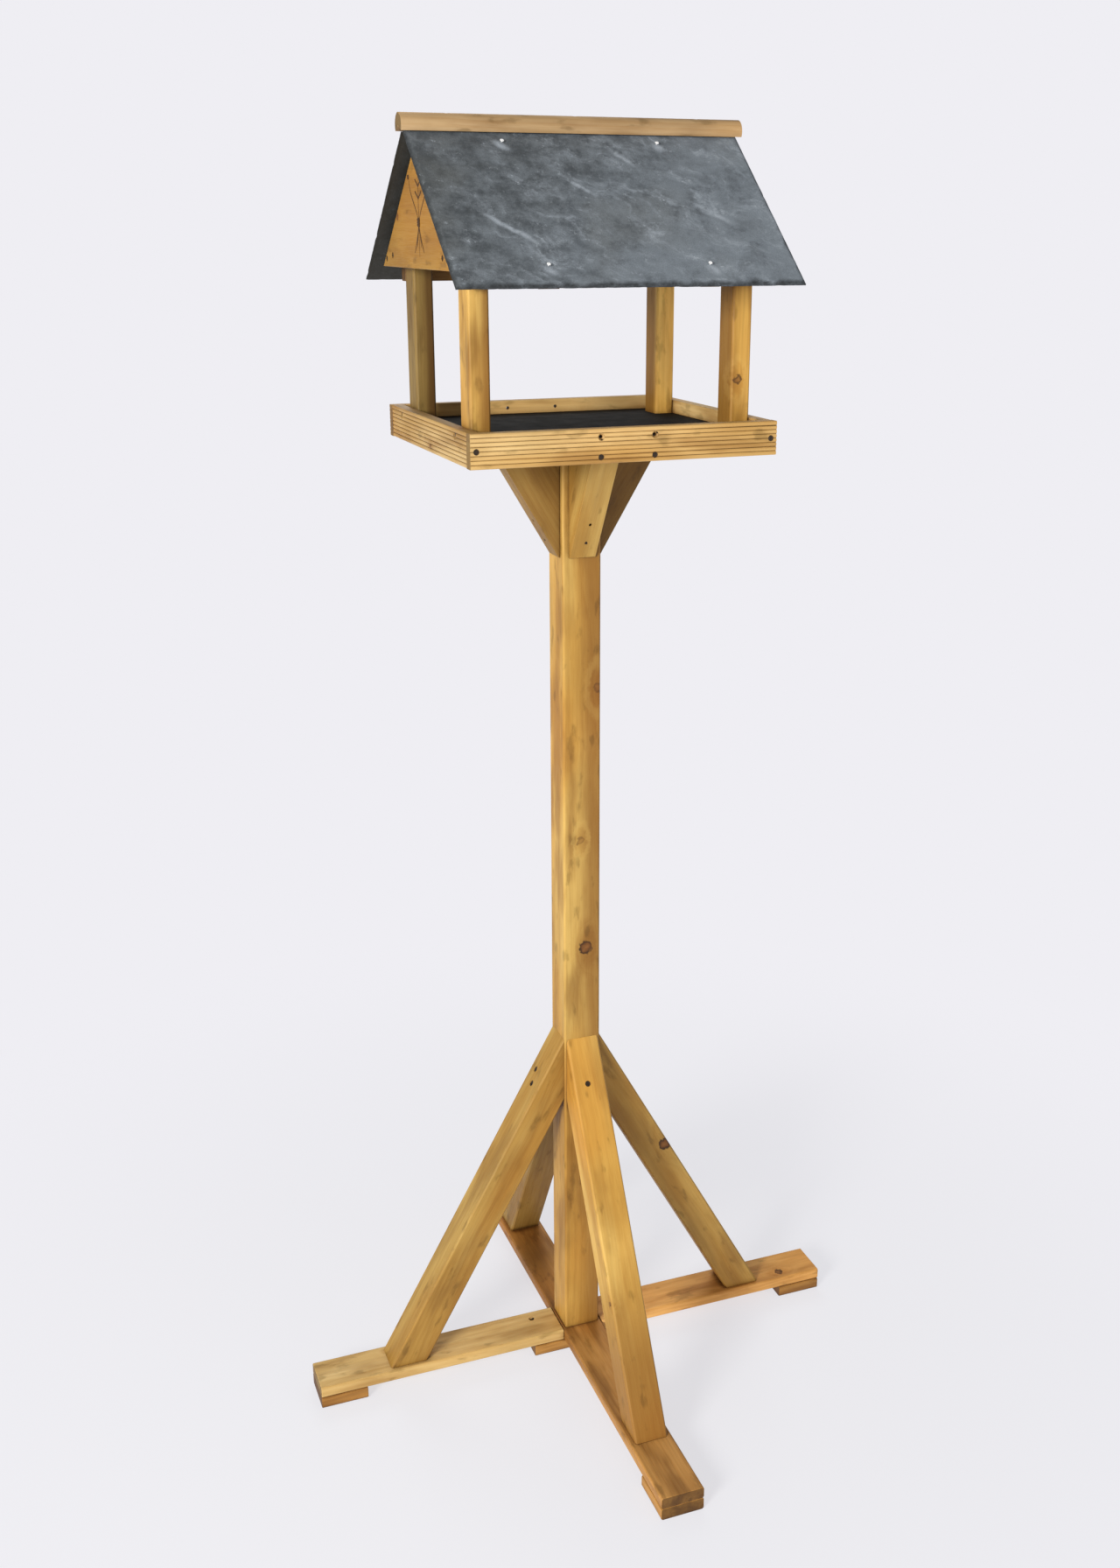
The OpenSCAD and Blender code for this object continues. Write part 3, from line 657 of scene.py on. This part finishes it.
def slate_marks(s, colour, field):
    """Bright flecks, shadowed hollows and fine pits."""
    mottle, cloud = field["mottle"], field["cloud"]
    flecks = s.times(s.step(field["fleck"], 0.56, 0.72), s.step(field["wisp"], 0.4, 0.65, 0.1, 0.9))
    colour = s.blend(flecks, colour, SLATE_FLECK)
    hollows = s.times(s.step(mottle, 0.5, 0.36), s.step(cloud, 0.6, 0.4, 0.1, 0.45))
    colour = s.blend(hollows, colour, SLATE_HOLLOW)
    return s.blend(s.step(field["grain"], 0.3, 0.8, 0.0, 0.3), colour, SLATE_PIT)


def slate_edges_and_underside_shade(s, colour, field):
    """The dark dressed edges, and painted shade on the underside."""
    dressed = s.node("ShaderNodeAttribute", {"attribute_name": "dressed"}).outputs["Fac"]
    colour = s.blend(s.times(dressed, s.step(field["fleck"], 0.3, 0.6, 0.6, 0.95)), colour, SLATE_EDGE)
    # Painted shade on the faces that look down
    return s.blend(s.step(s.facing(), 0.3, -0.4, 0.0, 0.85), colour, SLATE_UNDERSIDE_SHADE)


def slate_material(name, seed):
    """Riven slate in its own colours with a painted sheen, painted shade on one side and underneath, and
    fine cleavage in its surface.
    """
    s = Shader(name)
    face = s.coordinate()
    field = slate_fields(s, face, seed)
    colour = slate_ground(s, field)
    colour = s.blend(slate_smears(s, face, field), colour, SLATE_SMEAR)
    colour = slate_marks(s, colour, field)
    colour = slate_edges_and_underside_shade(s, colour, field)
    height = s.plus(s.times(field["wisp"], 0.6), s.times(field["grain"], 0.2))
    return s.finish(Base_Color=colour, Roughness=s.step(field["wisp"], 0.3, 0.7, 0.55, 0.72),
                    Specular_IOR_Level=0.35,
                    Normal=s.bump(s.plus(height, field["mottle"]), 1.3 * MM, 0.7))


def slope_frame(node):
    """A frame in the middle of a slate: X along the ridge, Y up the slope, Z out of the roof."""
    mesh = frame["nodes"][node].data
    normal = max(mesh.polygons, key=lambda face: face.area * (face.normal.z > 0)).normal
    up_slope = normal.cross(X)
    low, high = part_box(node)
    turn = Matrix((X, up_slope, normal)).transposed().to_4x4()
    return Matrix.Translation((low + high) / 2) @ turn


def chips(along, seed, depth):
    """How far an edge stands back: nibbles all along it, and now and then a deeper chip."""
    nibble = abs(noise.noise((along * 260, seed, 0)))
    chip = max(0, noise.noise((along * 75, seed, 7)) - 0.12)
    return depth * (0.35 * nibble + 1.5 * chip)


def riven(x, y, seed):
    """Depth of a riven face below its highest level, from 0 to 1: cleavage steps and ripples."""
    slant = (0.8 * x - 0.6 * y) * 22, (0.6 * x + 0.8 * y) * 60, seed
    layer = 4 * noise.noise(slant)
    step = (math.floor(layer) + min(1, (layer % 1) * 3)) / 4
    ripple = noise.fractal((x * 130, y * 130, seed), 1.0, 2.0, 4)
    return min(1, max(0, 0.5 + 0.45 * step + 0.3 * ripple))


def slate_point(u, v, half, seed, top):
    """A point on a slate's upper (top 1) or lower (top -1) face for u and v from -1 to 1, and how far
    it lies in the dressed edge."""
    bite = 1.0 if top > 0 else 0.25
    x, y = u * half[0], v * half[1]
    long_edge = chips(x, seed + 2, HEAD_CHIPS) if v > 0 else chips(x, seed + 1, FOOT_CHIPS)
    short_edge = chips(y, seed + (3 if u > 0 else 4), SIDE_CHIPS)
    x -= math.copysign(u ** 8 * short_edge * bite, u)
    y -= math.copysign(v ** 8 * long_edge * bite, v)
    width = DRESSED_WIDTH * (1 + noise.noise((x * 60, y * 60, seed + 5)))
    side_width = 0.55 * width
    reach = max(1 - (half[1] + y) / width, 1 - (half[0] - abs(x)) / side_width, 0)
    drop = min(1, reach) ** 1.3 * (TOP_DROP if top > 0 else UNDER_DROP)
    z = half[2] - RIVEN_DEPTH * riven(x, y, seed + 9 * top) - drop
    return (x, y, top * z), min(1, 1.6 * reach)


def slate_sheet(bm, dressed, half, seed, top):
    """A grid of vertices, row by row, over the upper (top 1) or lower (top -1) face of a slate."""
    sheet = []
    for row in range(SLATE_ROWS + 1):
        line = []
        for column in range(SLATE_COLUMNS + 1):
            u, v = 2 * column / SLATE_COLUMNS - 1, 2 * row / SLATE_ROWS - 1
            point, edge = slate_point(u, v, half, seed, top)
            vertex = bm.verts.new(point)
            vertex[dressed] = edge
            line.append(vertex)
        sheet.append(line)
    return sheet


def cover(bm, sheet, order):
    """A sheet's faces: order 1 faces them upwards, -1 downwards."""
    for low, high in zip(sheet, sheet[1:]):
        for column in range(SLATE_COLUMNS):
            ring = [low[column], low[column + 1], high[column + 1], high[column]]
            bm.faces.new(ring[::order])


def rim(sheet):
    """The vertices round a sheet's edge, counterclockwise."""
    bottom = sheet[0][:-1]
    right = [line[-1] for line in sheet[:-1]]
    top = sheet[-1][:0:-1]
    left = [line[0] for line in sheet[:0:-1]]
    return bottom + right + top + left


def add_slate(node, seed):
    """One slate: both faces riven, the edges dressed back from the top face and chipped."""
    place = slope_frame(node)
    inverse = place.inverted()
    corners = [inverse @ vertex.co for vertex in frame["nodes"][node].data.vertices]
    half = [max(abs(corner[i]) for corner in corners) for i in range(3)]
    bm = bmesh.new()
    dressed = bm.verts.layers.float.new("dressed")
    upper, lower = (slate_sheet(bm, dressed, half, seed, top) for top in (1, -1))
    cover(bm, upper, 1)
    cover(bm, lower, -1)
    bridge(bm, rim(lower), rim(upper))
    add_piece(node + "_riven", bm, place, slate_material(node + "_stone", seed), node, sharp=70)


# ---- Mat ----

def mat_material():
    """Black rubbery mat with a fine moulded weave."""
    s = Shader("mat_rubber")
    local = s.coordinate()
    ribs = []
    for direction in ("X", "Y"):
        settings = {"wave_type": "BANDS", "bands_direction": direction, "wave_profile": "SIN"}
        wave = s.node("ShaderNodeTexWave", settings, {"Vector": local, "Scale": 105.0})
        ribs.append(wave.outputs["Fac"])
    weave = s.math("MULTIPLY", *ribs)
    dust = s.noise(local, scale=38.0, detail=4.0, roughness=0.6)
    colour = s.blend(s.step(dust, 0.45, 0.75), srgb(12, 12, 12), srgb(20, 21, 20))
    colour = s.blend(s.math("MULTIPLY", weave, 0.35), colour, srgb(10, 10, 11))
    return s.finish(Base_Color=colour, Roughness=s.step(dust, 0.3, 0.8, 0.8, 0.95),
                    Specular_IOR_Level=0.12, Normal=s.bump(weave, 0.4 * MM, 0.6))


def add_mat():
    """The mat, its cut edges rounded."""
    bm = welded("tray_mat")
    round_arrises(bm, shortest=3 * MM, radius=0.5 * MM)
    add_piece("tray_mat_rubber", bm, Matrix.Identity(4), mat_material(), "tray_mat")


# ---- Screws ----

THREAD_PITCH = 2.2 * MM
WOOD_SCREW_SIDES, WASHER_SCREW_SIDES = 20, 24
RECESS, WASHER_RECESS = 1.3 * MM, 0.9 * MM
CAP = 0.9 * MM


def screw_material(name, bright, dull, stain, metallic):
    """Zinc plate that is bright, dull or stained in places."""
    s = Shader(name)
    local = s.coordinate()
    wear = s.noise(local, scale=420.0, detail=4.0, roughness=0.65)
    scratch = s.noise(s.mapped(local, scale=(2600, 300, 900)), detail=2.0)
    colour = s.blend(s.step(wear, 0.35, 0.65), bright, dull)
    colour = s.blend(s.step(wear, 0.58, 0.75, 0.0, 0.8), colour, stain)
    return s.finish(Base_Color=colour, Metallic=metallic, Roughness=s.step(wear, 0.3, 0.7, 0.32, 0.62),
                    Normal=s.bump(scratch, 0.08 * MM, 0.4))


def islands(bm):
    """The separate solids of a mesh, each as a list of vertices."""
    left = set(bm.verts)
    found = []
    for first in list(bm.verts):
        if first not in left:
            continue
        left.remove(first)
        island, queue = [], [first]
        while queue:
            vertex = queue.pop()
            island.append(vertex)
            for edge in vertex.link_edges:
                other = edge.other_vert(vertex)
                if other in left:
                    left.remove(other)
                    queue.append(other)
        found.append(island)
    return found


def screw_axis(points):
    """The direction between a screw's two furthest points."""
    middle = sum(points, Vector()) / len(points)
    far = max(points, key=lambda p: (p - middle).length)
    other = max(points, key=lambda p: (p - far).length)
    return (far - other).normalized()


def screw_end(points, axis):
    """The middle and the radius of the end that axis points to."""
    reach = max(p.dot(axis) for p in points)
    cap = [p for p in points if p.dot(axis) > reach - CAP]
    centre = sum(cap, Vector()) / len(cap)
    return centre, max((p - centre).length for p in cap)


def measured_screw(points):
    """A screw's frame, at its tip with Z out of its head, the heights of its steps and their radii."""
    axis = screw_axis(points)
    ends = [screw_end(points, axis), screw_end(points, -axis)]
    (head, _), (tip, _) = sorted(ends, key=lambda end: -end[1])
    out = (head - tip).normalized()
    steps = []
    for point in points:
        height = (point - tip).dot(out)
        steps.append((height, ((point - tip) - out * height).length))
    levels = sorted({round(height, 6) for height, _ in steps})
    radii = {level: max(radius for height, radius in steps if abs(height - level) < 0.01 * MM)
             for level in levels}
    return Matrix.Translation(tip) @ out.to_track_quat("Z", "Y").to_matrix().to_4x4(), levels, radii


def measured_screws(node):
    """The frame, step heights and radii of each screw in a node, read from its mesh."""
    bm = welded(node)
    found = [measured_screw([vertex.co.copy() for vertex in island]) for island in islands(bm)]
    bm.free()
    return found


def lathe(bm, place, profile, sides):
    """A surface of revolution about local Z through (radius, height) pairs, closed at its foot. Gives
    back the ring of vertices round its open top."""
    angles = [2 * math.pi * k / sides for k in range(sides)]
    rings = []
    for radius, height in profile:
        points = [Vector((radius * math.cos(a), radius * math.sin(a), height)) for a in angles]
        rings.append([bm.verts.new(place @ point) for point in points])
    for low, high in zip(rings, rings[1:]):
        bridge(bm, low, high)
    bm.faces.new(rings[0][::-1])
    return rings[-1]


def cross_recess(bm, place, ring, head_r, top, depth):
    """Closes a screw head with a cross-shaped driver recess."""
    arm, width = 0.52 * head_r, 0.13 * head_r
    corner = 1.25 * width
    outline = []
    for quarter in range(4):
        turn = Matrix.Rotation(quarter * math.pi / 2, 3, "Z")
        outline += [turn @ Vector((x, y, 0)) for x, y in ((arm, -width), (arm, width), (corner, corner))]
    mouth = [bm.verts.new(place @ (point + Vector((0, 0, top)))) for point in outline]
    floor = [bm.verts.new(place @ (point * 0.72 + Vector((0, 0, top - depth)))) for point in outline]
    bridge(bm, floor, mouth)
    bm.faces.new(floor)
    edges = [bm.edges.get(pair) for loop in (ring, mouth) for pair in zip(loop, loop[1:] + loop[:1])]
    bmesh.ops.triangle_fill(bm, edges=edges, use_beauty=True, use_dissolve=False)


def thread_profile(levels, radii):
    """A wood screw from its point up: point, thread, plain shank and the underside of its head."""
    shank_from, head_from = levels[1], levels[-2]
    crest = radii[shank_from]
    root = 0.7 * crest
    profile = [(radii[levels[0]], 0.0), (root, shank_from)]
    height = shank_from + THREAD_PITCH / 2
    while height < head_from * 0.72:
        profile += [(root, height), (crest, height + THREAD_PITCH * 0.35)]
        height += THREAD_PITCH
    return profile + [(crest * 0.8, height), (crest, head_from)]


def wood_screw(bm, place, levels, radii):
    """A countersunk wood screw."""
    top, head_r = levels[-1], radii[levels[-1]]
    head = [(head_r * 0.96, top - 0.35 * MM), (head_r, top - 0.12 * MM), (head_r * 0.95, top)]
    ring = lathe(bm, place, thread_profile(levels, radii) + head, WOOD_SCREW_SIDES)
    cross_recess(bm, place, ring, head_r, top, RECESS)


def washer_screw(bm, place, levels, radii):
    """A slate's screw: a washer under a domed head."""
    tip, shank_from = levels[:2]
    washer_from, head_from, top = levels[-3:]
    shank, washer = radii[shank_from], radii[head_from]
    head_r = 0.78 * washer
    profile = [(radii[tip], 0.0), (shank, shank_from), (shank, washer_from), (washer, washer_from),
               (washer, head_from - 0.25 * MM), (washer * 0.93, head_from), (head_r, head_from)]
    profile += [(head_r * math.cos(angle), head_from + (top - head_from) * math.sin(angle))
                for angle in (0.35, 0.7, 0.95)]
    flat_r, flat = profile[-1]
    ring = lathe(bm, place, profile, WASHER_SCREW_SIDES)
    cross_recess(bm, place, ring, flat_r * 1.4, flat, WASHER_RECESS)


def add_screws(node, material):
    """A node's screws, with threads, heads and driver recesses, as one piece."""
    build = washer_screw if SLOT[node] == "washer_screws" else wood_screw
    bm = bmesh.new()
    for place, levels, radii in measured_screws(node):
        build(bm, place, levels, radii)
    bmesh.ops.recalc_face_normals(bm, faces=bm.faces)
    add_piece(node + "_detailed", bm, Matrix.Identity(4), material, node, sharp=35)


# ---- Camera, light and floor ----

BACKDROP = srgb(239, 238, 243)


def add_camera():
    """The photograph's view: standing front left of the table, looking slightly down at it."""
    data = bpy.data.cameras.new("camera")
    data.lens = 37.47
    data.shift_x = -0.0154
    data.clip_end = 200
    camera = bpy.data.objects.new("camera", data)
    camera.location = (-0.6926, -1.8558, 1.5138)
    camera.rotation_euler = (math.radians(90 - 18.8), 0, math.radians(-20.8))
    bpy.context.scene.collection.objects.link(camera)
    bpy.context.scene.camera = camera


def add_area_light(name, place, target, size, power, colour=(1, 1, 1)):
    """A round area light that faces a target."""
    data = bpy.data.lights.new(name, "AREA")
    data.shape = "DISK"
    data.size = size
    data.energy = power
    data.color = colour
    light = bpy.data.objects.new(name, data)
    light.location = place
    light.rotation_euler = (Vector(target) - Vector(place)).to_track_quat("-Z", "Y").to_euler()
    bpy.context.scene.collection.objects.link(light)


def add_lights():
    """A soft key from the front left, a weak fill from the front right and a rim light from behind."""
    centre = (cad_low + cad_high) / 2
    add_area_light("key", (-3.3, -2.7, 2.1), centre, size=1.4, power=195, colour=(1.0, 0.97, 0.92))
    add_area_light("fill", (2.6, -3.0, 1.6), centre, size=2.4, power=12)
    add_area_light("rim", (0.6, 3.2, 3.4), centre, size=2.4, power=38)


def add_sky():
    """An even white sky that the camera sees as the backdrop's colour."""
    world = bpy.data.worlds.new("sky")
    bpy.context.scene.world = world
    world.use_nodes = True
    nodes, links = world.node_tree.nodes, world.node_tree.links
    sky = nodes["Background"]
    sky.inputs["Color"].default_value = (1, 1, 1, 1)
    sky.inputs["Strength"].default_value = 0.33
    seen = nodes.new("ShaderNodeBackground")
    seen.inputs["Color"].default_value = BACKDROP
    rays = nodes.new("ShaderNodeLightPath")
    mix = nodes.new("ShaderNodeMixShader")
    links.new(rays.outputs["Is Camera Ray"], mix.inputs[0])
    links.new(sky.outputs[0], mix.inputs[1])
    links.new(seen.outputs[0], mix.inputs[2])
    links.new(mix.outputs[0], nodes["World Output"].inputs["Surface"])


def floor_material():
    """Pale matt floor that takes soft shadows near the table and fades into the backdrop further out."""
    s = Shader("floor_paper", "ShaderNodeMixShader")
    place = s.node("ShaderNodeNewGeometry")
    away = s.vector("LENGTH", place.outputs["Position"])
    paper = s.node("ShaderNodeBsdfDiffuse", None, {"Color": (0.90, 0.92, 0.96, 1)})
    glow = s.node("ShaderNodeEmission", None, {"Color": BACKDROP})
    clear = s.node("ShaderNodeBsdfTransparent")
    blend = s.node("ShaderNodeMixShader")
    s.feed(blend.inputs[0], s.step(away, 0.3, 1.4, 0.74, 1.0))
    s.feed(blend.inputs[1], paper.outputs[0])
    s.feed(blend.inputs[2], glow.outputs[0])
    s.feed(s.surface.inputs[0], place.outputs["Backfacing"])
    s.feed(s.surface.inputs[1], blend.outputs[0])
    s.feed(s.surface.inputs[2], clear.outputs[0])
    return s.material


def add_floor():
    """A wide floor just under the feet."""
    bm = bmesh.new()
    bmesh.ops.create_circle(bm, cap_ends=True, segments=96, radius=40)
    mesh = bpy.data.meshes.new("floor")
    bm.to_mesh(mesh)
    bm.free()
    mesh.materials.append(floor_material())
    floor = bpy.data.objects.new("floor", mesh)
    floor.location.z = cad_low.z - 0.2 * MM
    bpy.context.scene.collection.objects.link(floor)


bpy.context.scene.view_settings.view_transform = "Standard"
add_camera()
add_lights()
add_sky()
add_floor()
add_middle_timbers()
add_end_timbers()
burnt = burnt_material()
add_sprig("gable_left", -1, burnt)
add_sprig("gable_right", 1, burnt)
add_slate("slate_front", 3)
add_slate("slate_back", 21)
add_mat()
dull_zinc = screw_material("zinc_dulled", srgb(66, 50, 34), srgb(40, 30, 20), srgb(24, 17, 11), 0.4)
# Near-white zinc for the slate screws: partly the pale zinc, partly a painted highlight for the glints on
# washers and heads
zinc_with_painted_glint = screw_material("zinc_painted_glint", srgb(255, 255, 255), srgb(246, 248, 250),
                             srgb(196, 196, 192), 0.0)
for name in sorted(frame["nodes"]):
    if name.endswith("_screws"):
        add_screws(name, zinc_with_painted_glint if SLOT[name] == "washer_screws" else dull_zinc)
